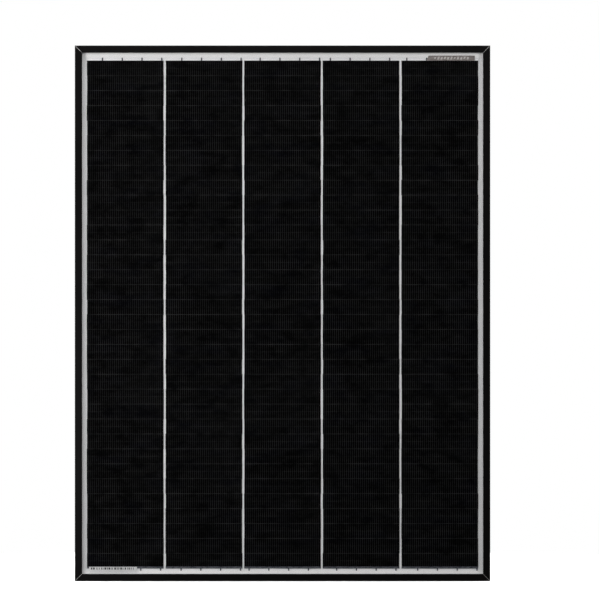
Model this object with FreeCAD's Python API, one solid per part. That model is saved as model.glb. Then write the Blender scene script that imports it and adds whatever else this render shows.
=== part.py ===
import FreeCAD, Part
import math
import os
from FreeCAD import Vector

# Framed photovoltaic module made of shingled cell strips, standing upright.
# X is the width, Z the height and Y the depth; the glass faces -Y. The origin is the middle of
# the bottom edge. Most shapes are given by their depth behind the front face of the frame.

# ---- driving dimensions, in millimetres ----
module_width = 861.0
module_height = 1110.0
module_depth = 35.0

# Frame rail section: front lip, glass groove, hollow key chamber, rear flange.
rail_wall = 1.6
lip_width = 15.0
lip_thickness = 1.8
lip_bevel = 0.5
chamber_width = 11.0
shelf_front = 8.2
shelf_thickness = 1.5
chamber_back = 24.0
chamber_wall = 1.4
long_flange = 30.0
short_flange = 22.0
mitre_groove = 0.45

# Holes in the rear flanges of the long rails, and drain slots in those of the short ones.
mount_slot_width = 9.0
mount_slot_length = 14.0
mount_slot_pitch = 590.0
mount_slot_inset = 17.0
ground_hole_radius = 2.1
ground_hole_pitch = 300.0
drain_slot_width = 4.5
drain_slot_length = 12.0
drain_slot_pitch = 640.0
drain_slot_inset = 14.0

# Corner keys pressed into the rail chambers.
key_leg = 48.0
key_play = 0.1
key_barbs = 3
key_barb_length = 2.0

# Laminate, as depths behind the front face of the frame.
laminate_inset = 3.0
seal_reach = 11.5
glass_front = 2.5
glass_back = 5.7
cells_front = 6.1
cells_back = 6.5
circuit_back = 6.85
sheet_front = 7.15
sheet_back = 7.5

# Shingled strips: a square wafer cut in five, each strip lapping over the one above it.
wafer = 158.75
strips_per_wafer = 5
strip_height = wafer / strips_per_wafer
strip_overlap = 0.8
strip_thickness = 0.18
strip_tilt = 0.2
strips_per_column = 34
columns = 5
column_gap = 4.25
cells_bottom = 25.9
string_edge = 6.3
strip_shift = 0.45

# Ribbons.
ribbon_thickness = 0.15
collector_height = 4.1
solder_gap = 0.004
tabs_per_column = 4
tab_pitch = 41.0
tab_width = 2.6
top_tab_starts = (32.0, 33.5, 33.0, 15.5, 11.0)
bottom_tab_starts = (29.5, 32.0, 10.0, 28.5, 33.5)
top_tab_length = 6.0
bottom_tab_length = 4.5
bus_height = 6.0
bus_inset = 15.0
bus_front = 6.45
cover_front = 5.9
lead_width = 8.0
lead_offset = 20.0
lead_front = 6.6
lead_thickness = 0.2
insulation_width = 18.0
label_thickness = 0.1

# Labels.
name_strip_left = 298.0
name_strip_right = 398.5
name_strip_height = 10.2
name_strip_slant = 5.0
name_strip_gap = 0.2
bar_label_left = -401.0
bar_label_right = -302.0
bar_label_bottom = 16.5
bar_label_top = 29.4
rating_label_size = (100.0, 70.0)
rating_label_centre = (-210.0, 930.0)

# Junction box on the back.
box_width = 120.0
box_height = 95.0
box_bottom = 950.0
box_front = 8.3
box_rim = 26.0
box_wall = 2.2
box_corner = 6.0
adhesive_inset = 1.0
adhesive_width = 7.0
adhesive_corner = 2.0
gasket_thickness = 1.0
slit_width = 64.0
slit_height = 6.0
slit_z = 1030.0

# Lid and its hinge along the box's top edge.
lid_thickness = 2.2
lid_skirt = 2.0
lid_play = 0.4
lid_skirt_wall = 1.5
lid_corner = 7.0
finger_half = 9.0
finger_reach = 3.0
rib_pitch = 34.0
rib_width = 3.0
rib_height = 0.8
rib_inset = 14.0
hinge_rise = 4.2
hinge_depth = 24.0
hinge_root = 1.0
knuckle_radius = 3.0
knuckle_gap = 0.3
pin_radius = 1.25
pin_play = 0.05
lid_knuckle_half = 34.7
hinge_half = 46.0

# Terminals, clips, screws, diodes and vent inside the box.
terminal_rise = 3.0
terminal_thickness = 1.2
terminal_width = 16.0
terminal_z = (970.0, 1034.0)
post_width = 12.0
post_z = (978.0, 1018.0)
barrel_radius = 3.2
barrel_bore = 2.0
barrel_length = 10.0
barrel_lap = 2.0
barrel_web = 1.5
tail_play = 0.6
clip_height = 3.0
clip_wall = 1.0
clip_play = 1.0
clip_grip = 1.5
screw_radius = 3.0
screw_height = 2.0
screw_slot_width = 0.9
screw_slot_depth = 0.8
screw_slot_length = 4.0
screw_z = (985.0, 1011.0)
diode_radius = 2.7
diode_length = 10.0
diode_wire = 0.6
diode_foot = 0.8
diode_lap = 4.0
diode_z = (992.0, 1003.0)
vent_stem = 2.5
vent_head = 4.5
vent_length = 4.0
vent_tip = 1.5

# Cable glands under the box, pointing down.
gland_offset = 32.0
gland_depth = 17.6
gland_hex = 14.0
gland_spigot = 5.0
gland_collar = 4.0
gland_thread_radius = 5.5
gland_thread_length = 11.0
gland_passage = 3.3
gland_play = 0.05
spigot_tip = 1.0
locknut_thickness = 3.0
seal_pocket_radius = 4.5
seal_pocket_depth = 5.0
seal_bore = 3.1
seal_proud = 0.5
washer_radius = 4.9
washer_thickness = 1.1
nut_mouth = 3.5
nut_hex_length = 9.0
nut_dome_length = 5.0
nut_dome_inset = 0.2
nut_dome_sunk = 0.5
nut_mouth_rim = 1.2

# How far a cutting tool runs past the surface it cuts, and how far a joined part is sunk in.
overcut = 1.0
sunk = 0.5
same_place = 1e-6

# ---- values worked out from the driving dimensions ----
half_width = module_width / 2
half_depth = module_depth / 2
laminate_half = half_width - laminate_inset
laminate_top = module_height - laminate_inset
strip_pitch = strip_height - strip_overlap
string_height = (strips_per_column - 1) * strip_pitch + strip_height
cells_top = cells_bottom + string_height
column_pitch = wafer + column_gap
cells_left = -(columns * wafer + (columns - 1) * column_gap) / 2
box_top = box_bottom + box_height
gland_top = box_bottom
thread_end = gland_top - gland_collar - gland_thread_length
seal_end = thread_end - seal_proud
washer_top = seal_end - gland_play
washer_end = washer_top - washer_thickness
shoulder = washer_end - gland_play
nut_end = shoulder - nut_dome_length
nut_top = gland_top - gland_collar - 4 * gland_play
hinge_axis_z = box_top + hinge_rise
floor_back = box_front + box_wall
terminal_places = (-lead_offset, lead_offset)
terminal_depth = (floor_back + terminal_rise, floor_back + terminal_rise + terminal_thickness)
post_depth = (floor_back - sunk, terminal_depth[0])
collector_slope = strip_tilt * collector_height / strip_height + solder_gap
bottom_collector_front = string_edge - collector_slope - ribbon_thickness
top_collector_front = string_edge + strip_thickness - strip_tilt + collector_slope
top_bus_range = (module_height - bus_inset - bus_height, module_height - bus_inset)
bottom_bus_range = (bus_inset, bus_inset + bus_height)


def y_at(depth):
    """Turn a depth behind the frame's front face into the Y coordinate."""
    return depth - half_depth


def block(x_range, depth_range, z_range):
    """A box from two X values, two depths and two Z values."""
    size_x = x_range[1] - x_range[0]
    size_y = depth_range[1] - depth_range[0]
    size_z = z_range[1] - z_range[0]
    return Part.makeBox(size_x, size_y, size_z, Vector(x_range[0], y_at(depth_range[0]), z_range[0]))


def centred_block(x, width, depth_range, z_range):
    """A block whose width is centred on x."""
    return block((x - width / 2, x + width / 2), depth_range, z_range)


def save(name, shapes):
    """Write one sub-part, made of one solid or a group of separate solids."""
    solids = shapes if isinstance(shapes, list) else [shapes]
    shape = solids[0] if len(solids) == 1 else Part.makeCompound(solids)
    shape.exportStep("parts/" + name + ".step")


def prism_xz(points, depth_range):
    """A plate with an outline in X and Z between two depths."""
    corners = [Vector(x, y_at(depth_range[0]), z) for x, z in points]
    face = Part.Face(Part.makePolygon(corners + corners[:1]))
    return face.extrude(Vector(0, depth_range[1] - depth_range[0], 0))


def rod(x, depth, z_range, radius):
    """A vertical cylinder between two Z values."""
    return Part.makeCylinder(radius, z_range[1] - z_range[0], Vector(x, y_at(depth), z_range[0]))


def hex_rod(x, depth, z_range, across_flats):
    """A vertical hexagonal prism with two flats facing front and back."""
    corner_radius = across_flats / math.sqrt(3)
    corners = []
    for side in range(6):
        angle = math.radians(60 * side)
        px = x + corner_radius * math.cos(angle)
        py = y_at(depth) + corner_radius * math.sin(angle)
        corners.append(Vector(px, py, z_range[0]))
    face = Part.Face(Part.makePolygon(corners + corners[:1]))
    return face.extrude(Vector(0, 0, z_range[1] - z_range[0]))


# ---- frame ----
def rail_length(side):
    """The length of the straight stock for a side."""
    return module_height if side in ("left", "right") else module_width


def extrude_section(wires, side):
    """Run a section, given as (inset, depth) outlines, along one side and mitre both its ends."""
    length = rail_length(side)
    faces = []
    for points in wires:
        corners = [Vector(inset, y_at(depth), 0) for inset, depth in points]
        faces.append(Part.Face(Part.makePolygon(corners + corners[:1])))
    face = faces[0]
    for hole in faces[1:]:
        face = face.cut(hole)
    stock = face.extrude(Vector(0, 0, length))
    reach = max(inset for inset, depth in wires[0])
    ends = [(0, 0), (reach, reach), (reach, length - reach), (0, length)]
    rail = stock.common(prism_xz(ends, (0, module_depth)))
    if side == "left":
        rail.translate(Vector(-half_width, 0, 0))
    if side == "right":
        rail.rotate(Vector(0, 0, 0), Vector(0, 1, 0), 180)
        rail.translate(Vector(half_width, 0, module_height))
    if side == "bottom":
        rail.rotate(Vector(0, 0, 0), Vector(0, 1, 0), -90)
        rail.translate(Vector(half_width, 0, 0))
    if side == "top":
        rail.rotate(Vector(0, 0, 0), Vector(0, 1, 0), 90)
        rail.translate(Vector(-half_width, 0, module_height))
    return rail.Solids[0]


def rail_section(flange):
    """Outline and chamber of a frame rail with a rear flange of the given width."""
    outline = [
        (lip_bevel, 0),
        (lip_width - lip_bevel, 0),
        (lip_width, lip_bevel),
        (lip_width, lip_thickness),
        (rail_wall, lip_thickness),
        (rail_wall, shelf_front),
        (chamber_width, shelf_front),
        (chamber_width, chamber_back),
        (rail_wall, chamber_back),
        (rail_wall, module_depth - rail_wall),
        (flange, module_depth - rail_wall),
        (flange, module_depth),
        (0, module_depth),
        (0, lip_bevel),
    ]
    inner = chamber_width - chamber_wall
    front = shelf_front + shelf_thickness
    back = chamber_back - shelf_thickness
    chamber = [(rail_wall, front), (inner, front), (inner, back), (rail_wall, back)]
    return [outline, chamber]


def mitre_grooves():
    """Fine V-shaped reveals along the four mitre lines of the front lip."""
    reach = (lip_width + mitre_groove) * math.sqrt(2)
    grooves = []
    for sign_x in (-1, 1):
        for z, sign_z in ((0, 1), (module_height, -1)):
            corner = Vector(sign_x * half_width, -half_depth, z)
            along = Vector(-sign_x, 0, sign_z).normalize()
            across = Vector(sign_z, 0, sign_x).normalize()
            start = corner - along * mitre_groove
            tip = start + Vector(0, mitre_groove, 0)
            edges = [start + across * mitre_groove, tip, start - across * mitre_groove]
            face = Part.Face(Part.makePolygon(edges + edges[:1]))
            grooves.append(face.extrude(along * (reach + 2 * mitre_groove)))
    return Part.makeCompound(grooves)


def flange_hole(x, z, radius):
    """A round hole through the rear flange."""
    start = Vector(x, y_at(module_depth - 2 * rail_wall), z)
    return Part.makeCylinder(radius, 3 * rail_wall, start, Vector(0, 1, 0))


def true_slot(x, z, width, length, along_z):
    """A slot through the rear flange with exact half-round ends."""
    half_run = (length - width) / 2
    depths = (module_depth - 2 * rail_wall, module_depth + rail_wall)
    if along_z:
        body = block((x - width / 2, x + width / 2), depths, (z - half_run, z + half_run))
        ends = [(x, z - half_run), (x, z + half_run)]
    else:
        body = block((x - half_run, x + half_run), depths, (z - width / 2, z + width / 2))
        ends = [(x - half_run, z), (x + half_run, z)]
    for end_x, end_z in ends:
        body = body.fuse(flange_hole(end_x, end_z, width / 2))
    return body.removeSplitter()


def long_rail(side):
    """A left or right rail with its mounting slots and grounding holes."""
    sign = -1 if side == "left" else 1
    x = sign * (half_width - mount_slot_inset)
    middle = module_height / 2
    rail = extrude_section(rail_section(long_flange), side)
    for half in (-0.5, 0.5):
        z = middle + half * mount_slot_pitch
        rail = rail.cut(true_slot(x, z, mount_slot_width, mount_slot_length, True))
        rail = rail.cut(flange_hole(x, middle + half * ground_hole_pitch, ground_hole_radius))
    return rail


def short_rail(side):
    """A bottom or top rail with its drain slots."""
    z = drain_slot_inset if side == "bottom" else module_height - drain_slot_inset
    rail = extrude_section(rail_section(short_flange), side)
    for half in (-0.5, 0.5):
        x = half * drain_slot_pitch
        rail = rail.cut(true_slot(x, z, drain_slot_width, drain_slot_length, False))
    return rail


def corner_key(sign_x, top):
    """An L-shaped key with barbed legs that joins two mitred rails."""
    low = rail_wall + key_play
    high = chamber_width - chamber_wall - key_play
    front = shelf_front + shelf_thickness + key_play
    back = chamber_back - shelf_thickness - key_play
    upright = block((low, high), (front, back), (low, key_leg))
    level = block((low, key_leg), (front, back), (low, high))
    key = upright.fuse(level)
    for barb in range(key_barbs):
        start = high + (barb + 1) * (key_leg - high) / (key_barbs + 1)
        span = (start, start + key_barb_length)
        key = key.fuse(block((high, high + key_play), (front, back), span))
        key = key.fuse(block(span, (front, back), (high, high + key_play)))
    key = key.removeSplitter()
    key.translate(Vector(-half_width, 0, 0))
    if sign_x > 0:
        key = key.mirror(Vector(0, 0, 0), Vector(1, 0, 0))
    if top:
        key = key.mirror(Vector(0, 0, module_height / 2), Vector(0, 0, 1))
    return key


def groove_seal(side):
    """The rubber channel that holds the laminate's edge in the groove of one rail."""
    outline = [
        (rail_wall, lip_thickness),
        (seal_reach, lip_thickness),
        (seal_reach, glass_front),
        (laminate_inset, glass_front),
        (laminate_inset, sheet_back),
        (chamber_width, sheet_back),
        (chamber_width, shelf_front),
        (rail_wall, shelf_front),
    ]
    return extrude_section([outline], side)


def make_frame():
    grooves = mitre_grooves()
    for side in ("left", "right"):
        save("frame_" + side, long_rail(side).cut(grooves).Solids[0])
    for side in ("bottom", "top"):
        save("frame_" + side, short_rail(side).cut(grooves).Solids[0])
    save("corner_keys", [corner_key(sign, top) for sign in (-1, 1) for top in (False, True)])
    for side in ("left", "right", "bottom", "top"):
        save("groove_seal_" + side, groove_seal(side))


# ---- laminate ----
def column_left(column):
    """The X coordinate of a column's left edge."""
    return cells_left + column * column_pitch


def placing_error(column, row):
    """The small sideways error with which a strip was laid, different for every strip."""
    return strip_shift * math.sin(2.4 * row * row + 1.7 * column)


def cell_strip(column, row):
    """One strip, tilted so that its top edge lies in front of the strip above."""
    left = column_left(column) + placing_error(column, row)
    low = cells_bottom + row * strip_pitch
    high = low + strip_height
    section = [
        (string_edge, low),
        (string_edge + strip_thickness, low),
        (string_edge + strip_thickness - strip_tilt, high),
        (string_edge - strip_tilt, high),
    ]
    corners = [Vector(left, y_at(depth), z) for depth, z in section]
    face = Part.Face(Part.makePolygon(corners + corners[:1]))
    return face.extrude(Vector(wafer, 0, 0))


def column_block(column, depth_range, z_range, margin=0.0):
    """A block as wide as one column, or a margin wider on each side."""
    left = column_left(column)
    return block((left - margin, left + wafer + margin), depth_range, z_range)


def tab_places(starts):
    """The X coordinates of a row of tabs, from the first tab's distance to its column's left edge."""
    firsts = [column_left(column) + start for column, start in enumerate(starts)]
    return [first + i * tab_pitch for first in firsts for i in range(tabs_per_column)]


def top_tab(x):
    """A straight tab from the top collector up to the top bus ribbon."""
    return centred_block(x, tab_width, (top_collector_front, bus_front), (cells_top, top_bus_range[1]))


def bottom_tab(x):
    """A tab from the front of the lowest strip that steps back behind the cover strip."""
    step = cells_bottom - bottom_tab_length / 2
    front = (bottom_collector_front, bottom_collector_front + ribbon_thickness)
    riser = centred_block(x, tab_width, (front[0], bus_front), (step, step + ribbon_thickness))
    upper = centred_block(x, tab_width, front, (step, cells_bottom))
    foot_range = (bottom_bus_range[0], step + ribbon_thickness)
    foot = centred_block(x, tab_width, (bus_front - ribbon_thickness, bus_front), foot_range)
    return upper.fuse([riser, foot]).removeSplitter()


def bus_ribbon(z_range):
    """A ribbon across all the columns, behind the tabs."""
    return block((cells_left, -cells_left), (bus_front, lead_front), z_range)


def lead(x, bus_range):
    """A flat lead that runs behind the cells from a bus ribbon and turns into the box."""
    face_depths = (lead_front, lead_front + lead_thickness)
    low = min(bus_range[0], slit_z)
    high = max(bus_range[1], slit_z + lead_thickness)
    flat = centred_block(x, lead_width, face_depths, (low, high))
    tail_depths = (lead_front, terminal_depth[1] + clip_height - clip_wall)
    tail = centred_block(x, lead_width, tail_depths, (slit_z, slit_z + lead_thickness))
    return flat.fuse(tail).removeSplitter()


def insulation(x, z_range):
    """A thin white film that keeps a lead off the cells and hides it beyond them."""
    return centred_block(x, insulation_width, (cells_back, lead_front), z_range)


def slanted_strip(depth_range):
    """The dark strip at the top right, with a slanted left end."""
    low = cells_top + name_strip_gap
    high = low + name_strip_height
    points = [
        (name_strip_left, low),
        (name_strip_right, low),
        (name_strip_right, high),
        (name_strip_left + name_strip_slant, high),
    ]
    return prism_xz(points, depth_range)


def bar_label(depth_range):
    """The white label at the bottom left."""
    return block((bar_label_left, bar_label_right), depth_range, (bar_label_bottom, bar_label_top))


def cover_strip(z_range, depth_range):
    """A white strip in front of a bus ribbon."""
    return block((-laminate_half, laminate_half), depth_range, z_range)


def make_laminate():
    across = (-laminate_half, laminate_half)
    upright = (laminate_inset, laminate_top)
    label_depths = (glass_back, glass_back + label_thickness)
    cover_depths = (cover_front, cells_front)
    top_cover = (cells_top + top_tab_length, laminate_top)
    bottom_cover = (laminate_inset, cells_bottom - bottom_tab_length)
    save("front_glass", block(across, (glass_front, glass_back), upright))
    save("slanted_name_strip", slanted_strip(label_depths))
    save("bar_label", bar_label(label_depths))
    save("top_bus_cover", cover_strip(top_cover, cover_depths))
    save("bottom_bus_cover", cover_strip(bottom_cover, cover_depths))
    front_sheet = block(across, (glass_back, cells_front), upright)
    pockets = [slanted_strip(label_depths), bar_label(label_depths)]
    pockets += [cover_strip(top_cover, cover_depths), cover_strip(bottom_cover, cover_depths)]
    save("front_encapsulant", front_sheet.cut(pockets))

    top_tabs = tab_places(top_tab_starts)
    bottom_tabs = tab_places(bottom_tab_starts)
    string_range = (cells_bottom, cells_top)
    bottom_collector = (bottom_collector_front, bottom_collector_front + ribbon_thickness)
    top_collector = (top_collector_front, bus_front)
    low_collector = (cells_bottom, cells_bottom + collector_height)
    high_collector = (cells_top - collector_height, cells_top)
    for column in range(columns):
        strips = [cell_strip(column, row) for row in range(strips_per_column)]
        save("cell_column_" + str(column + 1), strips)
    save("bottom_collectors", [column_block(c, bottom_collector, low_collector) for c in range(columns)])
    save("top_collectors", [column_block(c, top_collector, high_collector) for c in range(columns)])
    save("top_tabs", [top_tab(x) for x in top_tabs])
    save("bottom_tabs", [bottom_tab(x) for x in bottom_tabs])
    save("top_bus_ribbon", bus_ribbon(top_bus_range))
    save("bottom_bus_ribbon", bus_ribbon(bottom_bus_range))
    save("positive_lead", lead(lead_offset, top_bus_range))
    save("negative_lead", lead(-lead_offset, bottom_bus_range))
    film = [
        insulation(lead_offset, (slit_z - slit_height, top_bus_range[0])),
        insulation(-lead_offset, (bottom_bus_range[1], slit_z + slit_height)),
    ]
    save("lead_insulation", film)

    rear_sheet = block(across, (cells_front, sheet_front), upright)
    string_depths = (cells_front, cells_back)
    pockets = [column_block(c, string_depths, string_range, strip_shift) for c in range(columns)]
    pockets += [top_tab(x) for x in top_tabs]
    for x in bottom_tabs:
        tab_pocket = (bottom_bus_range[0], cells_bottom)
        pockets.append(centred_block(x, tab_width, (cells_front, bus_front), tab_pocket))
    pockets += [bus_ribbon(top_bus_range), bus_ribbon(bottom_bus_range)]
    pockets += film
    pockets += [lead(lead_offset, top_bus_range), lead(-lead_offset, bottom_bus_range)]
    pockets.append(slit_cutter())
    save("rear_encapsulant", rear_sheet.cut(pockets))
    backsheet = block(across, (sheet_front, sheet_back), upright)
    save("backsheet", backsheet.cut(slit_cutter()))
    centre_x, centre_z = rating_label_centre
    label_z = (centre_z - rating_label_size[1] / 2, centre_z + rating_label_size[1] / 2)
    label_depth = (sheet_back, sheet_back + label_thickness)
    save("rating_label", centred_block(centre_x, rating_label_size[0], label_depth, label_z))


# ---- junction box ----
def slit_cutter():
    """The slit through which the leads pass from the laminate into the box."""
    z_range = (slit_z - slit_height / 2, slit_z + slit_height / 2)
    return centred_block(0, slit_width, (circuit_back, floor_back + overcut), z_range)


def rounded_block(half_x, depth_range, z_range, radius):
    """A block with its four long edges, those along the depth, rounded."""
    body = block((-half_x, half_x), depth_range, z_range)
    edges = [e for e in body.Edges if abs(e.Vertexes[0].Z - e.Vertexes[-1].Z) < same_place]
    edges = [e for e in edges if abs(e.Vertexes[0].X - e.Vertexes[-1].X) < same_place]
    return body.makeFillet(radius, edges)


def knuckle(x_range, radius):
    """A cylinder along X on the hinge axis."""
    start = Vector(x_range[0], y_at(hinge_depth), hinge_axis_z)
    return Part.makeCylinder(radius, x_range[1] - x_range[0], start, Vector(1, 0, 0))


def bottom_wall_hole(x, radius):
    """A round hole through the bottom wall of the box."""
    return rod(x, gland_depth, (box_bottom - overcut, box_bottom + box_wall + overcut), radius)


def box_base():
    """The box with its floor, four walls, hinge lugs and terminal posts."""
    half = box_width / 2
    base = rounded_block(half, (box_front, box_rim), (box_bottom, box_top), box_corner)
    inner_z = (box_bottom + box_wall, box_top - box_wall)
    inner_depth = (floor_back, box_rim + overcut)
    cavity = rounded_block(half - box_wall, inner_depth, inner_z, box_corner - box_wall)
    base = base.cut(cavity)
    spigot_hole = gland_spigot + gland_play
    holes = [bottom_wall_hole(x, spigot_hole) for x in (-gland_offset, gland_offset)]
    base = base.cut([slit_cutter(), bottom_wall_hole(0, vent_stem)] + holes)
    for sign in (-1, 1):
        ends = sorted((sign * (lid_knuckle_half + knuckle_gap), sign * hinge_half))
        lug = block(ends, (hinge_depth - knuckle_radius, hinge_depth), (box_top - sunk, hinge_axis_z))
        base = base.fuse([lug, knuckle(ends, knuckle_radius)])
    for x in terminal_places:
        base = base.fuse(centred_block(x, post_width, post_depth, post_z))
    base = base.cut(knuckle((-hinge_half - overcut, hinge_half + overcut), pin_radius))
    return base.removeSplitter()


def box_gasket():
    """A flat rubber ring between the rim and the lid."""
    half = box_width / 2
    depths = (box_rim, box_rim + gasket_thickness)
    ring = rounded_block(half, depths, (box_bottom, box_top), box_corner)
    inner_z = (box_bottom + box_wall, box_top - box_wall)
    inner_depths = (depths[0] - overcut, depths[1] + overcut)
    hole = rounded_block(half - box_wall, inner_depths, inner_z, box_corner - box_wall)
    return ring.cut(hole)


def box_lid():
    """The lid: a ribbed plate with a skirt on three sides, a hinge knuckle and a finger tab."""
    front = box_rim + gasket_thickness
    back = front + lid_thickness
    outer = box_width / 2 + lid_play + lid_skirt_wall
    low = box_bottom - lid_play - lid_skirt_wall
    lid = rounded_block(outer, (front - lid_skirt, back), (low, box_top), lid_corner)
    space_x = outer - lid_skirt_wall
    space_z = (box_bottom - lid_play, box_top + overcut)
    space = block((-space_x, space_x), (front - lid_skirt - overcut, front), space_z)
    lid = lid.cut(space)
    barrel = (-lid_knuckle_half, lid_knuckle_half)
    arm = block(barrel, (front, back), (box_top - hinge_root, hinge_axis_z))
    neck_z = (hinge_axis_z - hinge_root, hinge_axis_z + hinge_root)
    neck = block(barrel, (hinge_depth, back), neck_z)
    lid = lid.fuse([arm, neck, knuckle(barrel, knuckle_radius)])
    tab = block((-finger_half, finger_half), (front, back), (low - finger_reach, low + hinge_root))
    lid = lid.fuse(tab)
    rib_z = (box_bottom + rib_inset, box_top - rib_inset)
    for x in (-rib_pitch, 0, rib_pitch):
        lid = lid.fuse(centred_block(x, rib_width, (back, back + rib_height), rib_z))
    lid = lid.cut(knuckle((-hinge_half, hinge_half), pin_radius + pin_play))
    return lid.removeSplitter()


def terminal(x):
    """A tinned copper plate with a turned-up cable barrel at its lower end."""
    plate = centred_block(x, terminal_width, terminal_depth, terminal_z)
    barrel_top = terminal_z[0] + barrel_lap
    barrel_z = (barrel_top - barrel_length, barrel_top)
    bore_z = (barrel_z[0] - overcut, barrel_top - barrel_web)
    barrel_depth = terminal_depth[1] + barrel_bore
    barrel = rod(x, barrel_depth, barrel_z, barrel_radius)
    bore = rod(x, barrel_depth, bore_z, barrel_bore)
    slot_z = (slit_z - lead_thickness, slit_z + 2 * lead_thickness)
    slot_depths = (terminal_depth[0] - overcut, terminal_depth[1] + overcut)
    slot = centred_block(x, lead_width + tail_play, slot_depths, slot_z)
    return plate.fuse(barrel).cut([bore, slot]).removeSplitter()


def terminal_screw(x, z):
    """A cheese-head screw with a cross slot, standing on a terminal plate."""
    start = Vector(x, y_at(terminal_depth[1]), z)
    head = Part.makeCylinder(screw_radius, screw_height, start, Vector(0, 1, 0))
    top = terminal_depth[1] + screw_height
    depths = (top - screw_slot_depth, top + overcut)
    reach = screw_slot_length / 2
    half_slot = screw_slot_width / 2
    upright = centred_block(x, screw_slot_width, depths, (z - reach, z + reach))
    level = centred_block(x, screw_slot_length, depths, (z - half_slot, z + half_slot))
    return head.cut([upright, level])


def ribbon_clip(x):
    """A spring clip that presses a lead's tail onto its terminal."""
    z_range = (slit_z - clip_grip, slit_z + lead_thickness + clip_grip)
    top = terminal_depth[1] + clip_height
    gap_top = top - clip_wall
    gap_width = lead_width + clip_play
    body = centred_block(x, gap_width + 2 * clip_wall, (terminal_depth[1], top), z_range)
    gap = centred_block(x, gap_width, (terminal_depth[1] - overcut, gap_top), z_range)
    return body.cut(gap)


def bypass_diode(z):
    """An axial diode with its wires resting on both terminal plates."""
    depth = terminal_depth[1] + diode_radius
    y = y_at(depth)
    body = Part.makeCylinder(diode_radius, diode_length, Vector(-diode_length / 2, y, z), Vector(1, 0, 0))
    reach = lead_offset - terminal_width / 2 + diode_lap
    wire = Part.makeCylinder(diode_wire, 2 * reach, Vector(-reach, y, z), Vector(1, 0, 0))
    diode = body.fuse(wire)
    for sign in (-1, 1):
        foot_z = (z - diode_foot / 2, z + diode_foot / 2)
        foot_x = sign * (reach - diode_foot)
        diode = diode.fuse(centred_block(foot_x, diode_foot, (terminal_depth[1], depth), foot_z))
    return diode.removeSplitter()


def vent_plug():
    """A breather plug between the glands."""
    stem_z = (box_bottom, box_bottom + box_wall + vent_tip)
    stem = rod(0, gland_depth, stem_z, vent_stem - gland_play)
    head = rod(0, gland_depth, (box_bottom - vent_length, box_bottom), vent_head)
    return stem.fuse(head).removeSplitter()


def adhesive_ring():
    """The silicone bead that glues the box to the backsheet."""
    outer = adhesive_inset
    inner = adhesive_inset + adhesive_width
    depths = (sheet_back, box_front)
    hole_depths = (sheet_back - overcut, box_front + overcut)
    ring_z = (box_bottom + outer, box_top - outer)
    hole_z = (box_bottom + inner, box_top - inner)
    ring = rounded_block(box_width / 2 - outer, depths, ring_z, box_corner)
    hole = rounded_block(box_width / 2 - inner, hole_depths, hole_z, adhesive_corner)
    return ring.cut(hole)


# ---- cable glands ----
def gland_body(x):
    """Spigot, hexagonal collar and threaded sleeve, with a pocket for the seal."""
    spigot_top = box_bottom + box_wall + locknut_thickness + spigot_tip
    body = rod(x, gland_depth, (box_bottom, spigot_top), gland_spigot)
    collar = hex_rod(x, gland_depth, (gland_top - gland_collar, gland_top), gland_hex)
    sleeve = rod(x, gland_depth, (thread_end, gland_top - gland_collar), gland_thread_radius)
    body = body.fuse([collar, sleeve])
    low = thread_end - overcut
    passage = rod(x, gland_depth, (low, spigot_top + overcut), gland_passage)
    pocket = rod(x, gland_depth, (low, thread_end + seal_pocket_depth), seal_pocket_radius)
    return body.cut([passage, pocket]).removeSplitter()


def gland_locknut(x):
    """The hexagonal nut on the spigot inside the box."""
    z_range = (box_bottom + box_wall, box_bottom + box_wall + locknut_thickness)
    bore_z = (z_range[0] - overcut, z_range[1] + overcut)
    nut = hex_rod(x, gland_depth, z_range, gland_hex)
    return nut.cut(rod(x, gland_depth, bore_z, gland_spigot + gland_play))


def gland_seal(x):
    """The rubber sleeve that is squeezed onto the cable."""
    z_range = (seal_end, thread_end + seal_pocket_depth)
    bore_z = (z_range[0] - overcut, z_range[1] + overcut)
    seal = rod(x, gland_depth, z_range, seal_pocket_radius - gland_play)
    return seal.cut(rod(x, gland_depth, bore_z, seal_bore))


def gland_washer(x):
    """The slip washer between the seal and the nut's shoulder."""
    washer = rod(x, gland_depth, (washer_end, washer_top), washer_radius)
    bore_z = (washer_end - overcut, washer_top + overcut)
    return washer.cut(rod(x, gland_depth, bore_z, gland_passage))


def gland_nut(x):
    """The domed hexagonal nut that screws up the sleeve and squeezes the seal."""
    dome_radius = gland_hex / 2 - nut_dome_inset
    dome_top = shoulder - nut_dome_sunk
    hex_end = nut_top - nut_hex_length
    nut = hex_rod(x, gland_depth, (hex_end, nut_top), gland_hex)
    skirt = rod(x, gland_depth, (dome_top, hex_end), dome_radius)
    start = Vector(x, y_at(gland_depth), nut_end)
    dome = Part.makeCone(nut_mouth + nut_mouth_rim, dome_radius, dome_top - nut_end, start)
    nut = nut.fuse([skirt, dome])
    bore = rod(x, gland_depth, (shoulder, nut_top + overcut), gland_thread_radius + gland_play)
    mouth = rod(x, gland_depth, (nut_end - overcut, shoulder + overcut), nut_mouth)
    return nut.cut([bore, mouth]).removeSplitter()


def make_box():
    save("box_adhesive", adhesive_ring())
    save("box_base", box_base())
    save("box_gasket", box_gasket())
    save("box_lid", box_lid())
    save("hinge_pin", knuckle((-hinge_half, hinge_half), pin_radius))
    save("negative_terminal", terminal(-lead_offset))
    save("positive_terminal", terminal(lead_offset))
    save("terminal_screws", [terminal_screw(x, z) for x in terminal_places for z in screw_z])
    save("ribbon_clips", [ribbon_clip(x) for x in terminal_places])
    save("bypass_diodes", [bypass_diode(z) for z in diode_z])
    save("vent_plug", vent_plug())


def make_glands():
    places = (("left", -gland_offset), ("right", gland_offset))
    save("gland_locknuts", [gland_locknut(x) for name, x in places])
    save("gland_seals", [gland_seal(x) for name, x in places])
    for name, x in places:
        save("gland_body_" + name, gland_body(x))
        save("gland_washer_" + name, gland_washer(x))
        save("gland_nut_" + name, gland_nut(x))


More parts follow.
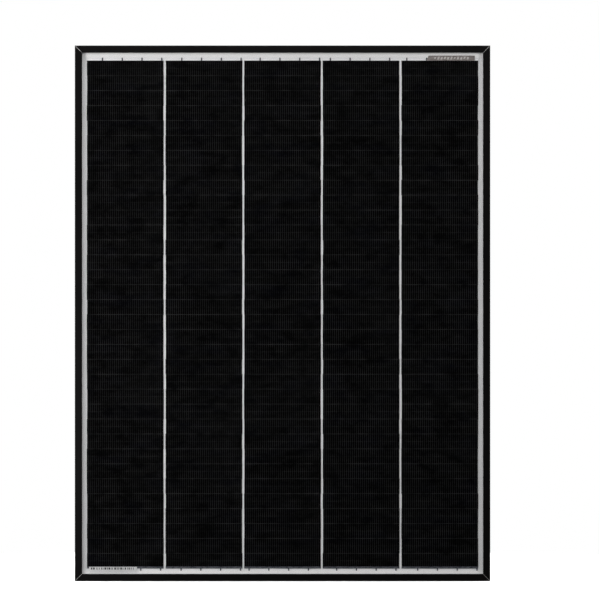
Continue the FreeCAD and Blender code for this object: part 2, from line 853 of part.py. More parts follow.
os.makedirs("parts", exist_ok=True)
make_frame()
make_laminate()
make_box()
make_glands()
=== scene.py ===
import math
import random

import bmesh
import bpy
import numpy as np
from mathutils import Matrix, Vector


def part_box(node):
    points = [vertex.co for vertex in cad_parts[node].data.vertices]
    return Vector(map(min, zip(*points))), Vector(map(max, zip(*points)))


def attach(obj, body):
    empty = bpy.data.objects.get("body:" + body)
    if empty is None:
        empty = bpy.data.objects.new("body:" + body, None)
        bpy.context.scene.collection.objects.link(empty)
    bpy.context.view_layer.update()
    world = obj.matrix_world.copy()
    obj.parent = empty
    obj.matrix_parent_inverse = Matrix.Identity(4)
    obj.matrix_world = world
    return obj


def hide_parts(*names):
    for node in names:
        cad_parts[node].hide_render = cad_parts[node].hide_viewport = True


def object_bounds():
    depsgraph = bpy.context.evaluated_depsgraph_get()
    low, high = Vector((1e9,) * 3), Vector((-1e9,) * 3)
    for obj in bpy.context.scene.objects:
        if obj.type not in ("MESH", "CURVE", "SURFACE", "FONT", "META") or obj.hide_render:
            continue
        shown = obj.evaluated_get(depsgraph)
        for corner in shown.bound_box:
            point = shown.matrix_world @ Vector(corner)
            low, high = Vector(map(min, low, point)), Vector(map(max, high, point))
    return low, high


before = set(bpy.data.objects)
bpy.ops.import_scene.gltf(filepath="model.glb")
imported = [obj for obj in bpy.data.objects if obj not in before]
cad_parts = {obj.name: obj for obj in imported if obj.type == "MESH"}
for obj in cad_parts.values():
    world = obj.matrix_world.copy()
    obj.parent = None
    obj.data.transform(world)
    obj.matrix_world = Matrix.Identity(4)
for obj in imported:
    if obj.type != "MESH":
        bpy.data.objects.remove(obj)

MM = 0.001
CAD_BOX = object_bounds()
LOW, HIGH = CAD_BOX
CENTRE = (LOW + HIGH) / 2
HEIGHT = HIGH.z - LOW.z
COLUMNS = 5
STRIPS = 34
STRIPS_PER_WAFER = 5
FILM_GRAIN = (1400.0, 1400.0, 1400.0)

# Edge rounding on the frame, the glands and the junction box.
METAL_ROUND = 0.25 * MM
GLAND_ROUND = 0.25 * MM
BOX_ROUND = 0.35 * MM

# The cell strings' places, from the CAD's collectors and columns.
STRING_LOW, STRING_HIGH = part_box("bottom_collectors")
HALF_STRING = (STRING_HIGH.x - STRING_LOW.x) / 2
CELLS_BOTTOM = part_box("cell_column_1")[0].z
CELLS_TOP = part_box("cell_column_1")[1].z
COLUMN_PITCH = (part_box("cell_column_5")[0].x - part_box("cell_column_1")[0].x) / (COLUMNS - 1)
WAFER = 2 * HALF_STRING - (COLUMNS - 1) * COLUMN_PITCH
COLUMN_GAP = COLUMN_PITCH - WAFER
STRIP_HEIGHT = WAFER / STRIPS_PER_WAFER
STRIP_PITCH = (CELLS_TOP - CELLS_BOTTOM - STRIP_HEIGHT) / (STRIPS - 1)


# ---------------------------------------------------------------- node helpers
def new_surface(name, color, roughness, metallic=0.0, specular=0.5):
    """A material whose Principled shader has its plain values set on its own sockets."""
    material = bpy.data.materials.new(name)
    material.use_nodes = True
    tree = material.node_tree
    shader = tree.nodes["Principled BSDF"]
    shader.inputs["Base Color"].default_value = (*color, 1.0)
    shader.inputs["Roughness"].default_value = roughness
    shader.inputs["Metallic"].default_value = metallic
    shader.inputs["Specular IOR Level"].default_value = specular
    return material, tree, shader


def placed(tree, scale):
    """Object coordinates, stretched by a scale for each axis."""
    coordinates = tree.nodes.new("ShaderNodeTexCoord")
    mapping = tree.nodes.new("ShaderNodeMapping")
    mapping.inputs["Scale"].default_value = scale
    tree.links.new(coordinates.outputs["Object"], mapping.inputs["Vector"])
    return mapping.outputs["Vector"]


def noise(tree, scale, detail=3.0, rough=0.55):
    """Noise in object space; the scale is in features per metre for each axis."""
    node = tree.nodes.new("ShaderNodeTexNoise")
    node.inputs["Scale"].default_value = 1.0
    node.inputs["Detail"].default_value = detail
    node.inputs["Roughness"].default_value = rough
    tree.links.new(placed(tree, scale), node.inputs["Vector"])
    return node.outputs["Fac"]


def remap(tree, value, low, high, out_low, out_high):
    """A value moved from one range into another, and kept inside it."""
    node = tree.nodes.new("ShaderNodeMapRange")
    node.inputs["From Min"].default_value = low
    node.inputs["From Max"].default_value = high
    node.inputs["To Min"].default_value = out_low
    node.inputs["To Max"].default_value = out_high
    tree.links.new(value, node.inputs["Value"])
    return node.outputs["Result"]


def tint(tree, shader, value, dark, light, low=0.35, high=0.65):
    """Colour the shader between two colours by a value."""
    ramp = tree.nodes.new("ShaderNodeValToRGB")
    ramp.color_ramp.elements[0].position = low
    ramp.color_ramp.elements[0].color = (*dark, 1.0)
    ramp.color_ramp.elements[1].position = high
    ramp.color_ramp.elements[1].color = (*light, 1.0)
    tree.links.new(value, ramp.inputs["Fac"])
    tree.links.new(ramp.outputs["Color"], shader.inputs["Base Color"])


def emboss(tree, shader, value, strength, distance):
    """Raise the surface by a value; the distance is in metres."""
    bump = tree.nodes.new("ShaderNodeBump")
    bump.inputs["Strength"].default_value = strength
    bump.inputs["Distance"].default_value = distance
    tree.links.new(value, bump.inputs["Height"])
    tree.links.new(bump.outputs["Normal"], shader.inputs["Normal"])


# ---------------------------------------------------------------- materials
def anodised(name, along):
    """Black anodised aluminium, die lines along one axis; darker and duller than real."""
    stretch = [900.0, 900.0, 900.0]
    stretch["XYZ".index(along)] = 3.0
    material, tree, shader = new_surface(name, (0.0023, 0.0020, 0.0020), 0.36, specular=0.11)
    lines = noise(tree, stretch, detail=2.0)
    tint(tree, shader, lines, (0.0017, 0.0015, 0.0015), (0.0029, 0.0025, 0.0025))
    clouds = noise(tree, (9.0, 9.0, 9.0), detail=4.0)
    tree.links.new(remap(tree, clouds, 0.3, 0.7, 0.32, 0.40), shader.inputs["Roughness"])
    emboss(tree, shader, lines, 0.25, 0.00004)
    return material


def bare_aluminium(name):
    """Cut aluminium where a rail was sawn through its black skin."""
    material, tree, shader = new_surface(name, (0.62, 0.61, 0.60), 0.38, metallic=0.9)
    saw = noise(tree, (500.0, 3000.0, 500.0), detail=2.0)
    tint(tree, shader, saw, (0.50, 0.49, 0.48), (0.74, 0.73, 0.72))
    emboss(tree, shader, saw, 0.2, 0.00002)
    return material


def front_glass():
    """Low-iron solar glass: clear, with a stippled sheen on its outward faces only.

    The sheen is weaker than real glass's, which keeps the cells dark.
    """
    material = bpy.data.materials.new("solar_glass")
    material.use_nodes = True
    tree = material.node_tree
    tree.nodes.remove(tree.nodes["Principled BSDF"])
    clear = tree.nodes.new("ShaderNodeBsdfTransparent")
    clear.inputs["Color"].default_value = (0.972, 0.972, 0.972, 1.0)
    sheen = tree.nodes.new("ShaderNodeBsdfGlossy")
    sheen.inputs["Roughness"].default_value = 0.14
    fresnel = tree.nodes.new("ShaderNodeFresnel")
    fresnel.inputs["IOR"].default_value = 1.19
    stipple = noise(tree, (700.0, 700.0, 700.0), detail=2.0)
    bump = tree.nodes.new("ShaderNodeBump")
    bump.inputs["Strength"].default_value = 0.12
    bump.inputs["Distance"].default_value = 0.00005
    tree.links.new(stipple, bump.inputs["Height"])
    tree.links.new(bump.outputs["Normal"], sheen.inputs["Normal"])
    surface = tree.nodes.new("ShaderNodeNewGeometry")
    outside = remap(tree, surface.outputs["Backfacing"], 0.0, 1.0, 1.0, 0.0)
    share = tree.nodes.new("ShaderNodeMath")
    share.operation = "MULTIPLY"
    tree.links.new(fresnel.outputs["Fac"], share.inputs[0])
    tree.links.new(outside, share.inputs[1])
    mix = tree.nodes.new("ShaderNodeMixShader")
    tree.links.new(share.outputs["Value"], mix.inputs["Fac"])
    tree.links.new(clear.outputs["BSDF"], mix.inputs[1])
    tree.links.new(sheen.outputs["BSDF"], mix.inputs[2])
    tree.links.new(mix.outputs["Shader"], tree.nodes["Material Output"].inputs["Surface"])
    return material


def encapsulant(name):
    """Clear film bonded to the glass, with a trace of cloudiness."""
    material = bpy.data.materials.new(name)
    material.use_nodes = True
    tree = material.node_tree
    tree.nodes.remove(tree.nodes["Principled BSDF"])
    clear = tree.nodes.new("ShaderNodeBsdfTransparent")
    haze = noise(tree, (40.0, 40.0, 40.0), detail=3.0)
    ramp = tree.nodes.new("ShaderNodeValToRGB")
    ramp.color_ramp.elements[0].color = (0.975, 0.975, 0.973, 1.0)
    ramp.color_ramp.elements[1].color = (0.995, 0.995, 0.993, 1.0)
    tree.links.new(haze, ramp.inputs["Fac"])
    tree.links.new(ramp.outputs["Color"], clear.inputs["Color"])
    tree.links.new(clear.outputs["BSDF"], tree.nodes["Material Output"].inputs["Surface"])
    return material


def silicon():
    """Coated cell surface, drifting slightly towards navy; blacker than a real cell."""
    color = (0.002, 0.002, 0.003)
    material, tree, shader = new_surface("cell_silicon", color, 0.7, specular=0.006)
    drift = noise(tree, (14.0, 14.0, 30.0), detail=4.0)
    tint(tree, shader, drift, (0.0001, 0.0001, 0.0001), (0.0003, 0.0004, 0.0014), 0.46, 0.74)
    texture = noise(tree, (1500.0, 1500.0, 1500.0), detail=2.0)
    tree.links.new(remap(tree, texture, 0.3, 0.7, 0.6, 0.8), shader.inputs["Roughness"])
    emboss(tree, shader, texture, 0.1, 0.00001)
    return material


def silver_paste(name, dark, light):
    """Fired silver paste: dull grey, brighter in places along its length."""
    material, tree, shader = new_surface(name, light, 0.6, specular=0.03)
    patches = noise(tree, (30.0, 30.0, 55.0), detail=5.0, rough=0.7)
    tint(tree, shader, patches, dark, light, 0.36, 0.62)
    grain = noise(tree, (4000.0, 4000.0, 4000.0), detail=2.0)
    emboss(tree, shader, grain, 0.3, 0.00001)
    return material


def tinned_copper():
    """Flat solder-dipped ribbon with a wavy surface."""
    material, tree, shader = new_surface("tinned_ribbon", (0.1, 0.11, 0.13), 0.45, metallic=0.3)
    waves = noise(tree, (160.0, 160.0, 500.0), detail=4.0)
    tint(tree, shader, waves, (0.022, 0.026, 0.038), (0.12, 0.125, 0.145))
    tree.links.new(remap(tree, waves, 0.3, 0.7, 0.35, 0.55), shader.inputs["Roughness"])
    emboss(tree, shader, waves, 0.3, 0.00006)
    return material


def white_film(name, dark, light, specular=0.35):
    """Matt white polymer film with a fine grain and faint cloudiness."""
    material, tree, shader = new_surface(name, light, 0.55, specular=specular)
    clouds = noise(tree, (7.0, 7.0, 7.0), detail=5.0)
    tint(tree, shader, clouds, dark, light, 0.3, 0.7)
    grain = noise(tree, FILM_GRAIN, detail=3.0)
    tree.links.new(remap(tree, grain, 0.3, 0.7, 0.48, 0.64), shader.inputs["Roughness"])
    emboss(tree, shader, grain, 0.25, 0.00004)
    return material


def backsheet():
    """White backsheet through which the cell strings show as a faint relief."""
    material, tree, shader = new_surface("white_backsheet", (0.8, 0.8, 0.8), 0.5, specular=0.35)
    clouds = noise(tree, (7.0, 7.0, 7.0), detail=5.0)
    tint(tree, shader, clouds, (0.76, 0.76, 0.765), (0.81, 0.81, 0.82), 0.3, 0.7)
    coordinates = tree.nodes.new("ShaderNodeTexCoord")
    turned = tree.nodes.new("ShaderNodeMapping")
    turned.inputs["Rotation"].default_value = (math.radians(-90), 0, 0)
    turned.inputs["Location"].default_value = (HALF_STRING + COLUMN_GAP / 2, -CELLS_BOTTOM, 0)
    bricks = tree.nodes.new("ShaderNodeTexBrick")
    bricks.offset = 0.0
    bricks.inputs["Scale"].default_value = 1.0
    bricks.inputs["Brick Width"].default_value = COLUMN_PITCH
    bricks.inputs["Row Height"].default_value = STRIP_PITCH
    bricks.inputs["Mortar Size"].default_value = 1.4 * MM
    bricks.inputs["Mortar Smooth"].default_value = 1.0
    tree.links.new(coordinates.outputs["Object"], turned.inputs["Vector"])
    tree.links.new(turned.outputs["Vector"], bricks.inputs["Vector"])
    grain = noise(tree, FILM_GRAIN, detail=3.0)
    tree.links.new(remap(tree, grain, 0.3, 0.7, 0.42, 0.58), shader.inputs["Roughness"])
    relief = tree.nodes.new("ShaderNodeBump")
    relief.invert = True
    relief.inputs["Strength"].default_value = 0.5
    relief.inputs["Distance"].default_value = 0.0003
    tree.links.new(bricks.outputs["Fac"], relief.inputs["Height"])
    fine = tree.nodes.new("ShaderNodeBump")
    fine.inputs["Strength"].default_value = 0.25
    fine.inputs["Distance"].default_value = 0.00004
    tree.links.new(grain, fine.inputs["Height"])
    tree.links.new(relief.outputs["Normal"], fine.inputs["Normal"])
    tree.links.new(fine.outputs["Normal"], shader.inputs["Normal"])
    return material


def dark_print(name, dark, light):
    """Dark printed film with a mottled tone."""
    material, tree, shader = new_surface(name, light, 0.5, specular=0.3)
    mottle = noise(tree, (220.0, 220.0, 420.0), detail=5.0, rough=0.7)
    tint(tree, shader, mottle, dark, light, 0.34, 0.66)
    emboss(tree, shader, mottle, 0.1, 0.00003)
    return material


def moulded(name, dark, light, roughness=0.5, scale=1100.0):
    """Injection-moulded plastic with a spark-eroded grain."""
    material, tree, shader = new_surface(name, light, roughness, specular=0.4)
    grain = noise(tree, (scale, scale, scale), detail=4.0, rough=0.65)
    clouds = noise(tree, (60.0, 60.0, 60.0), detail=3.0)
    tint(tree, shader, clouds, dark, light, 0.3, 0.7)
    low, high = roughness - 0.07, roughness + 0.09
    tree.links.new(remap(tree, grain, 0.3, 0.7, low, high), shader.inputs["Roughness"])
    emboss(tree, shader, grain, 0.4, 0.00008)
    return material


def rubber(name, dark, light):
    """Matt rubber with a dusty bloom."""
    material, tree, shader = new_surface(name, light, 0.75, specular=0.25)
    bloom = noise(tree, (160.0, 160.0, 160.0), detail=5.0)
    tint(tree, shader, bloom, dark, light)
    emboss(tree, shader, bloom, 0.2, 0.00008)
    return material


def plated(name, color, roughness):
    """Plated steel or tinned copper with fine drawing lines."""
    material, tree, shader = new_surface(name, color, roughness, metallic=1.0)
    lines = noise(tree, (120.0, 1800.0, 1800.0), detail=3.0)
    darker = tuple(0.72 * c for c in color)
    tint(tree, shader, lines, darker, color)
    low, high = roughness - 0.08, roughness + 0.1
    tree.links.new(remap(tree, lines, 0.3, 0.7, low, high), shader.inputs["Roughness"])
    emboss(tree, shader, lines, 0.15, 0.00003)
    return material


def pale_floor():
    """Plain white studio floor that glows a little, so that it stays pale beside the panel."""
    material, tree, shader = new_surface("studio_floor", (0.9, 0.9, 0.9), 0.8, specular=0.1)
    clouds = noise(tree, (2.0, 2.0, 2.0), detail=3.0)
    tint(tree, shader, clouds, (0.89, 0.89, 0.89), (0.91, 0.91, 0.91))
    shader.inputs["Emission Color"].default_value = (1.0, 1.0, 1.0, 1.0)
    shader.inputs["Emission Strength"].default_value = 0.22
    return material


RAIL_UPRIGHT = anodised("anodised_upright", "Z")
RAIL_LEVEL = anodised("anodised_level", "X")
BARE = bare_aluminium("bare_aluminium")
GLASS = front_glass()
FILM = encapsulant("clear_encapsulant")
SILICON = silicon()
FINGER = silver_paste("silver_fingers", (0.0045, 0.0045, 0.0047), (0.0235, 0.0235, 0.024))
LAP_LINE = silver_paste("silver_lap_lines", (0.009, 0.009, 0.0095), (0.044, 0.044, 0.045))
TINNED = tinned_copper()
SHEET = backsheet()
COVER = white_film("white_cover", (0.78, 0.775, 0.775), (0.83, 0.825, 0.825))
INSULATION = white_film("insulation_film", (0.73, 0.73, 0.72), (0.79, 0.79, 0.785))
NAME_FILM = dark_print("name_strip_film", (0.13, 0.112, 0.105), (0.24, 0.215, 0.205))
NAME_MARK = dark_print("name_strip_mark", (0.36, 0.335, 0.32), (0.52, 0.50, 0.48))
LABEL_PAPER = white_film("bar_label_paper", (0.70, 0.70, 0.70), (0.80, 0.80, 0.80))
LABEL_INK = dark_print("label_ink", (0.02, 0.02, 0.022), (0.06, 0.06, 0.065))
RATING_FILM = white_film("rating_label_film", (0.66, 0.67, 0.68), (0.74, 0.75, 0.76), specular=0.6)
BOX_PLASTIC = moulded("box_plastic", (0.014, 0.014, 0.015), (0.024, 0.024, 0.025))
GLAND_PLASTIC = moulded(
    "gland_plastic", (0.012, 0.012, 0.013), (0.022, 0.022, 0.023), 0.42, 1800.0
)
DIODE_EPOXY = moulded("diode_epoxy", (0.010, 0.010, 0.011), (0.02, 0.02, 0.02), 0.3, 2400.0)
WASHER_NYLON = moulded("washer_nylon", (0.66, 0.66, 0.62), (0.78, 0.78, 0.75), 0.45, 2000.0)
SEAL_RUBBER = rubber("seal_rubber", (0.012, 0.012, 0.012), (0.026, 0.026, 0.026))
SILICONE = rubber("box_silicone", (0.60, 0.60, 0.58), (0.72, 0.72, 0.70))
STEEL = plated("steel_pin", (0.56, 0.56, 0.56), 0.28)
TERMINAL = plated("terminal_metal", (0.66, 0.62, 0.55), 0.33)
ZINC = plated("zinc_fastener", (0.66, 0.66, 0.63), 0.36)

CAD_MATERIALS = {
    RAIL_UPRIGHT: ("frame_left", "frame_right"),
    RAIL_LEVEL: ("frame_bottom", "frame_top"),
    BARE: ("corner_keys",),
    GLASS: ("front_glass",),
    SILICON: tuple(f"cell_column_{i + 1}" for i in range(COLUMNS)),
    TINNED: (
        "bottom_collectors", "top_collectors", "top_tabs", "bottom_tabs",
        "top_bus_ribbon", "bottom_bus_ribbon", "positive_lead", "negative_lead",
    ),
    SHEET: ("backsheet",),
    COVER: ("top_bus_cover", "bottom_bus_cover"),
    INSULATION: ("lead_insulation",),
    NAME_FILM: ("slanted_name_strip",),
    LABEL_PAPER: ("bar_label",),
    RATING_FILM: ("rating_label",),
    BOX_PLASTIC: ("box_base", "box_lid", "vent_plug"),
    GLAND_PLASTIC: (
        "gland_body_left", "gland_body_right", "gland_locknuts",
        "gland_nut_left", "gland_nut_right",
    ),
    WASHER_NYLON: ("gland_washer_left", "gland_washer_right"),
    DIODE_EPOXY: ("bypass_diodes",),
    SEAL_RUBBER: (
        "groove_seal_left", "groove_seal_right", "groove_seal_bottom", "groove_seal_top",
        "box_gasket", "gland_seals",
    ),
    SILICONE: ("box_adhesive",),
    STEEL: ("hinge_pin",),
    TERMINAL: ("negative_terminal", "positive_terminal"),
    ZINC: ("terminal_screws", "ribbon_clips"),
}


def finish_cad_nodes():
    """Give every carried-over CAD node its material."""
    for material, names in CAD_MATERIALS.items():
        for name in names:
            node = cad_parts[name]
            node.data.materials.clear()
            node.data.materials.append(material)


def soften_edges(names, width):
    """Round the sharp edges of CAD nodes with a bevel modifier."""
    for name in names:
        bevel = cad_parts[name].modifiers.new("edge_round", "BEVEL")
        bevel.width = width
        bevel.segments = 2
        bevel.limit_method = "ANGLE"
        bevel.angle_limit = math.radians(35)


# ---------------------------------------------------------------- geometry helpers
BOX_FACES = ((0, 1, 3, 2), (4, 6, 7, 5), (0, 4, 5, 1), (2, 3, 7, 6), (0, 2, 6, 4), (1, 5, 7, 3))


def bar_corners(low, high, lean=0.0):
    """The eight corners of a bar; its top end is moved along Y by the lean."""
    corners = []
    for x in (low[0], high[0]):
        for y in (low[1], high[1]):
            for z in (low[2], high[2]):
                shift = lean if z == high[2] else 0.0
                corners.append((x, y + shift, z))
    return corners


def add_piece(name, mesh, material):
    """Put a mesh in the scene as a piece that rides on the module."""
    mesh.materials.append(material)
    piece = bpy.data.objects.new(name, mesh)
    bpy.context.scene.collection.objects.link(piece)
    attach(piece, "module")
    return piece


def bars_piece(name, bars, material):
    """One mesh piece from many separate bars."""
    vertices = []
    faces = []
    for corners in bars:
        start = len(vertices)
        vertices.extend(corners)
        faces.extend(tuple(start + i for i in face) for face in BOX_FACES)
    mesh = bpy.data.meshes.new(name)
    mesh.from_pydata(vertices, [], faces)
    mesh.update()
    add_piece(name, mesh, material)


def prism_piece(name, outlines, depth_range, material):
    """One mesh piece from flat outlines in X and Z, each made as thick as the depth range."""
    mesh = bpy.data.meshes.new(name)
    build = bmesh.new()
    for outline in outlines:
        front = [build.verts.new((x, depth_range[0], z)) for x, z in outline]
        back = [build.verts.new((x, depth_range[1], z)) for x, z in outline]
        count = len(outline)
        build.faces.new(front)
        build.faces.new(back[::-1])
        for i in range(count):
            j = (i + 1) % count
            build.faces.new((front[j], front[i], back[i], back[j]))
    bmesh.ops.recalc_face_normals(build, faces=build.faces)
    build.to_mesh(mesh)
    build.free()
    add_piece(name, mesh, material)


# ---------------------------------------------------------------- laminate
FILM_CELLS = 12
FILM_BEHIND_GLASS = 0.15 * MM
FILM_BEFORE_SHEET = 0.05 * MM


def laminate_film():
    """The clear films around the cells, drawn as their front skin with its edges turned back."""
    low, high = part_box("front_glass")
    front = high.y + FILM_BEHIND_GLASS
    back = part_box("backsheet")[0].y - FILM_BEFORE_SHEET
    mesh = bpy.data.meshes.new("laminate_film")
    build = bmesh.new()
    grid = [
        [
            build.verts.new((
                low.x + (high.x - low.x) * column / FILM_CELLS,
                front,
                low.z + (high.z - low.z) * row / FILM_CELLS,
            ))
            for column in range(FILM_CELLS + 1)
        ]
        for row in range(FILM_CELLS + 1)
    ]
    for row in range(FILM_CELLS):
        for column in range(FILM_CELLS):
            corners = (grid[row][column], grid[row][column + 1], grid[row + 1][column + 1])
            build.faces.new((*corners, grid[row + 1][column]))
    rim = [edge for edge in build.edges if edge.is_boundary]
    turned = bmesh.ops.extrude_edge_only(build, edges=rim)
    for vertex in turned["geom"]:
        if isinstance(vertex, bmesh.types.BMVert):
            vertex.co.y = back
    bmesh.ops.recalc_face_normals(build, faces=build.faces)
    build.to_mesh(mesh)
    build.free()
    film = add_piece("laminate_film", mesh, FILM)
    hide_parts("front_encapsulant", "rear_encapsulant")


# ---------------------------------------------------------------- cells
# A real cell's fingers are all as narrow as FINGER_WIDTH. Every third one is drawn far wider, as
# a stripe. FINGERS_PER_STRIP and EDGE_MARGIN put the stripes two pixels apart and on the pixel
# grid in the straight front view at 600 pixels, so their contrast differs in any other view. The
# fingers don't follow each strip's small sideways shift, which would blur the stripes.
FINGERS_PER_STRIP = 113
EDGE_MARGIN = 1.87 * MM
FINGER_WIDTH = 0.05 * MM
STRONG_WIDTH = 0.85 * MM
STRONG_EVERY = 3
FINGER_RISE = 0.012 * MM
FINGER_FOOT = 1.0 * MM
FINGER_TIP = 0.1 * MM
LINE_RISE = 1.5 * FINGER_RISE
LINE_INSET = 0.3 * MM
LAP_HEIGHT = 0.55 * MM
MIDDLE_HEIGHT = 0.22 * MM
SAME_PLACE = 0.05 * MM


def strips_of(column):
    """Left, right, bottom, top and the two front Y values of each strip, from the CAD."""
    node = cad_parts[f"cell_column_{column + 1}"]
    places = np.empty(len(node.data.vertices) * 3)
    node.data.vertices.foreach_get("co", places)
    places = places.reshape(-1, 3)
    strips = []
    for row in range(STRIPS):
        low = CELLS_BOTTOM + row * STRIP_PITCH
        high = low + STRIP_HEIGHT
        at_low = places[np.abs(places[:, 2] - low) < SAME_PLACE]
        at_high = places[np.abs(places[:, 2] - high) < SAME_PLACE]
        left, right = at_low[:, 0].min(), at_low[:, 0].max()
        strips.append((left, right, low, high, at_low[:, 1].min(), at_high[:, 1].min()))
    return strips


def column_grid(column):
    """The printed fingers, lap lines and middle lines on one column of strips."""
    fingers = []
    lines = []
    first_finger = column * COLUMN_PITCH - HALF_STRING + EDGE_MARGIN
    pitch = (WAFER - 2 * EDGE_MARGIN) / (FINGERS_PER_STRIP - 1)
    for left, right, low, high, y_low, y_high in strips_of(column):
        slope = (y_high - y_low) / (high - low)
        foot = low + FINGER_FOOT
        tip = high - FINGER_TIP
        base = y_low + slope * (foot - low)
        lean = slope * (tip - foot)
        for finger in range(FINGERS_PER_STRIP):
            x = first_finger + finger * pitch
            strong = (finger + column) % STRONG_EVERY == 1
            half = (STRONG_WIDTH if strong else FINGER_WIDTH) / 2
            fingers.append(
                bar_corners((x - half, base - FINGER_RISE, foot), (x + half, base, tip), lean)
            )
        lap = (high - LAP_HEIGHT / 2, LAP_HEIGHT)
        middle = ((low + high) / 2, MIDDLE_HEIGHT)
        for centre, size in (lap, middle):
            y = y_low + slope * (centre - low)
            corner = (left + LINE_INSET, y - LINE_RISE, centre - size / 2)
            opposite = (right - LINE_INSET, y, centre + size / 2)
            lines.append(bar_corners(corner, opposite, slope * size))
    bars_piece(f"cell_fingers_{column + 1}", fingers, FINGER)
    bars_piece(f"cell_lines_{column + 1}", lines, LAP_LINE)


# ---------------------------------------------------------------- frame details
LIP_WIDTH = 15.0 * MM
MITRE_HALF_WIDTH = 0.28 * MM
MITRE_OUTER_GAP = 1.2 * MM
MITRE_INNER_GAP = 0.4 * MM
MITRE_DEPTHS = (LOW.y + 0.12 * MM, LOW.y + 0.40 * MM)


def mitre_lines():
    """The sawn aluminium edge that shows as a fine line along each mitre."""
    names = {
        (-1, 0): "bottom_left",
        (1, 0): "bottom_right",
        (-1, 1): "top_left",
        (1, 1): "top_right",
    }
    for (side, top), name in names.items():
        x = LOW.x if side < 0 else HIGH.x
        z = HIGH.z if top else LOW.z
        inward = Vector((-side, 0, -1 if top else 1))
        across = Vector((inward.z, 0, -inward.x)) * MITRE_HALF_WIDTH
        start = Vector((x, 0, z)) + inward * MITRE_OUTER_GAP
        end = Vector((x, 0, z)) + inward * (LIP_WIDTH - MITRE_INNER_GAP)
        outline = [start - across, start + across, end + across, end - across]
        points = [(p.x, p.z) for p in outline]
        prism_piece(f"mitre_line_{name}", [points], MITRE_DEPTHS, BARE)


# ---------------------------------------------------------------- labels
PRINT_RISE = 0.03 * MM
PRINT_GAP = 0.005 * MM
NAME_BLOCKS = 11
NAME_START = 16 * MM
NAME_ENDS = 26 * MM
NAME_LEAN = 0.25
NAME_FILL = 0.52
BAR_START = 4 * MM
BAR_END = 5 * MM
BAR_WIDTHS = (1.2, 1.8, 2.6, 3.4)
BAR_GAPS = (1.6, 2.2, 3.0)
BAR_FOOT = 0.56
BAR_TOP = 0.90
RULE_ROWS = 8
RULE_END = 8 * MM
RULE_INSET = 6 * MM
RULE_HEIGHT = 0.4 * MM
ENTRY_FOOT = 2.2 * MM
ENTRY_TOP = 4.4 * MM


def name_strip_pattern():
    """Plain slanted blocks on the dark strip, where a maker would print a name."""
    low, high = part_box("slanted_name_strip")
    height = high.z - low.z
    pitch = (high.x - low.x - NAME_ENDS) / NAME_BLOCKS
    outlines = []
    for i in range(NAME_BLOCKS):
        x = low.x + NAME_START + i * pitch
        top = low.z + height * (0.80 if i % 2 else 0.68)
        bottom = low.z + height * (0.20 if i % 3 else 0.32)
        lean = NAME_LEAN * (top - bottom)
        wide = NAME_FILL * pitch
        outlines.append([(x, bottom), (x + wide, bottom), (x + wide + lean, top), (x + lean, top)])
    depths = (low.y - PRINT_RISE, low.y - PRINT_GAP)
    prism_piece("name_strip_blocks", outlines, depths, NAME_MARK)


def bar_label_pattern():
    """Upright bars of several widths on the white label."""
    low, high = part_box("bar_label")
    height = high.z - low.z
    chance = random.Random(7)
    bars = []
    x = low.x + BAR_START
    while x < high.x - BAR_END:
        wide = chance.choice(BAR_WIDTHS) * MM
        corner = (x, low.y - PRINT_RISE, low.z + BAR_FOOT * height)
        opposite = (x + wide, low.y - PRINT_GAP, low.z + BAR_TOP * height)
        bars.append(bar_corners(corner, opposite))
        x += wide + chance.choice(BAR_GAPS) * MM
    bars_piece("bar_label_bars", bars, LABEL_INK)


def rating_label_pattern():
    """A plain ruled table with no lettering."""
    low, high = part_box("rating_label")
    bars = []
    depth = (high.y, high.y + PRINT_RISE)
    for row in range(RULE_ROWS):
        z = low.z + RULE_END + row * (high.z - low.z - 2 * RULE_END) / (RULE_ROWS - 1)
        corner = (low.x + RULE_INSET, depth[0], z)
        bars.append(bar_corners(corner, (high.x - RULE_INSET, depth[1], z + RULE_HEIGHT)))
        for start, share in ((8, 0.30), (56, 0.22 + 0.05 * (row % 3))):
            end = low.x + start * MM + share * (high.x - low.x)
            corner = (low.x + start * MM, depth[0], z + ENTRY_FOOT)
            if row < RULE_ROWS - 1:
                bars.append(bar_corners(corner, (end, depth[1], z + ENTRY_TOP)))
    bars_piece("rating_label_rules", bars, LABEL_INK)


# ---------------------------------------------------------------- stage, lights, camera
def make_stage():
    """A round pale floor under the panel, which neither lights it nor shows in it."""
    place = (0, 0, -0.4 * MM)
    bpy.ops.mesh.primitive_circle_add(
        vertices=128, radius=1.5, fill_type="NGON", location=place
    )
    floor = bpy.context.object
    floor.name = "floor"
    floor.data.materials.append(pale_floor())
    floor.visible_glossy = False
    floor.visible_diffuse = False


def make_world():
    """White to the camera; for light and reflections bright above and dim at the horizon."""
    world = bpy.data.worlds.new("studio")
    bpy.context.scene.world = world
    world.use_nodes = True
    tree = world.node_tree
    tree.nodes.clear()
    output = tree.nodes.new("ShaderNodeOutputWorld")
    seen = tree.nodes.new("ShaderNodeBackground")
    seen.inputs["Color"].default_value = (1.0, 1.0, 1.0, 1.0)
    seen.inputs["Strength"].default_value = 1.0
    light = tree.nodes.new("ShaderNodeBackground")
    coordinates = tree.nodes.new("ShaderNodeTexCoord")
    split = tree.nodes.new("ShaderNodeSeparateXYZ")
    tree.links.new(coordinates.outputs["Generated"], split.inputs["Vector"])
    sky = remap(tree, split.outputs["Z"], 0.3, 0.85, 0.02, 0.32)
    light.inputs["Color"].default_value = (1.0, 1.0, 1.0, 1.0)
    tree.links.new(sky, light.inputs["Strength"])
    path = tree.nodes.new("ShaderNodeLightPath")
    mix = tree.nodes.new("ShaderNodeMixShader")
    tree.links.new(path.outputs["Is Camera Ray"], mix.inputs["Fac"])
    tree.links.new(light.outputs["Background"], mix.inputs[1])
    tree.links.new(seen.outputs["Background"], mix.inputs[2])
    tree.links.new(mix.outputs["Shader"], output.inputs["Surface"])


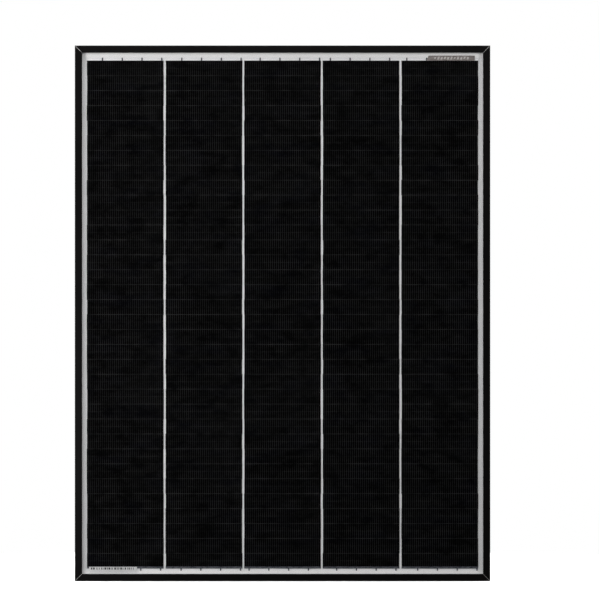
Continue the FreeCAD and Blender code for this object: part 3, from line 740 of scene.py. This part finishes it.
def soft_light(name, place, target, size, power):
    """A rectangular area light aimed at a point and hidden from the camera."""
    data = bpy.data.lights.new(name, "AREA")
    data.shape = "RECTANGLE"
    data.size, data.size_y = size
    data.energy = power
    light = bpy.data.objects.new(name, data)
    light.location = place
    aim = Vector(target) - Vector(place)
    light.rotation_mode = "QUATERNION"
    light.rotation_quaternion = aim.to_track_quat("-Z", "Y")
    light.visible_camera = False
    bpy.context.scene.collection.objects.link(light)


def make_lights():
    """Soft boxes at the front, the sides, above and behind.

    The front powers were first fitted to the brightness of parts of the photograph, then set one
    by one. The last four lights are behind the front face and light the sides and the rear.
    """
    middle = (0.0, 0.0, CENTRE.z)
    soft_light("left", (-2.3, -1.3, 0.7), middle, (0.8, 1.2), 54.0)
    soft_light("right", (2.6, -1.6, 1.1), middle, (0.8, 1.2), 34.0)
    soft_light("front", (-0.1, -2.4, 2.25), middle, (1.4, 0.7), 23.0)
    soft_light("low_left", (-0.75, -0.9, 0.3), (-0.42, 0.0, 0.3), (0.3, 0.5), 1.9)
    soft_light("top", (0.0, 0.0, 3.4), (0, 0, 0), (3.4, 3.4), 92.0)
    soft_light("back", (1.6, 3.4, 2.0), middle, (1.6, 1.6), 46.0)
    soft_light("back_side", (-2.0, 1.5, 1.3), (0.0, 0.0, 0.9), (0.5, 1.2), 12.0)
    soft_light("side_left", (-3.0, 0.6, 1.5), middle, (0.8, 1.2), 80.0)
    soft_light("side_right", (3.0, 0.6, 1.5), middle, (0.8, 1.2), 80.0)


def make_camera():
    """A long lens straight in front, shifted so that the panel sits left of and below centre."""
    data = bpy.data.cameras.new("camera")
    camera = bpy.data.objects.new("camera", data)
    bpy.context.scene.collection.objects.link(camera)
    distance = 12.0
    height_share = 0.8927
    data.sensor_width = 36.0
    data.lens = data.sensor_width * distance * height_share / HEIGHT
    data.shift_x = 0.0291
    data.shift_y = 0.0222
    data.clip_end = 100.0
    camera.location = (CENTRE.x, LOW.y - distance, CENTRE.z)
    camera.rotation_euler = (math.radians(90), 0, 0)
    bpy.context.scene.camera = camera


def set_view():
    """Plain colour management, so that the colours come out as they are set."""
    scene = bpy.context.scene
    scene.view_settings.view_transform = "Standard"
    scene.view_settings.look = "None"


make_camera()
finish_cad_nodes()
soften_edges(("frame_left", "frame_right", "frame_bottom", "frame_top"), METAL_ROUND)
soften_edges(("box_base", "box_lid", "vent_plug"), BOX_ROUND)
soften_edges(("gland_body_left", "gland_body_right"), GLAND_ROUND)
soften_edges(("gland_nut_left", "gland_nut_right"), GLAND_ROUND)
for column_index in range(COLUMNS):
    column_grid(column_index)
laminate_film()
mitre_lines()
name_strip_pattern()
bar_label_pattern()
rating_label_pattern()
make_stage()
make_world()
make_lights()
set_view()
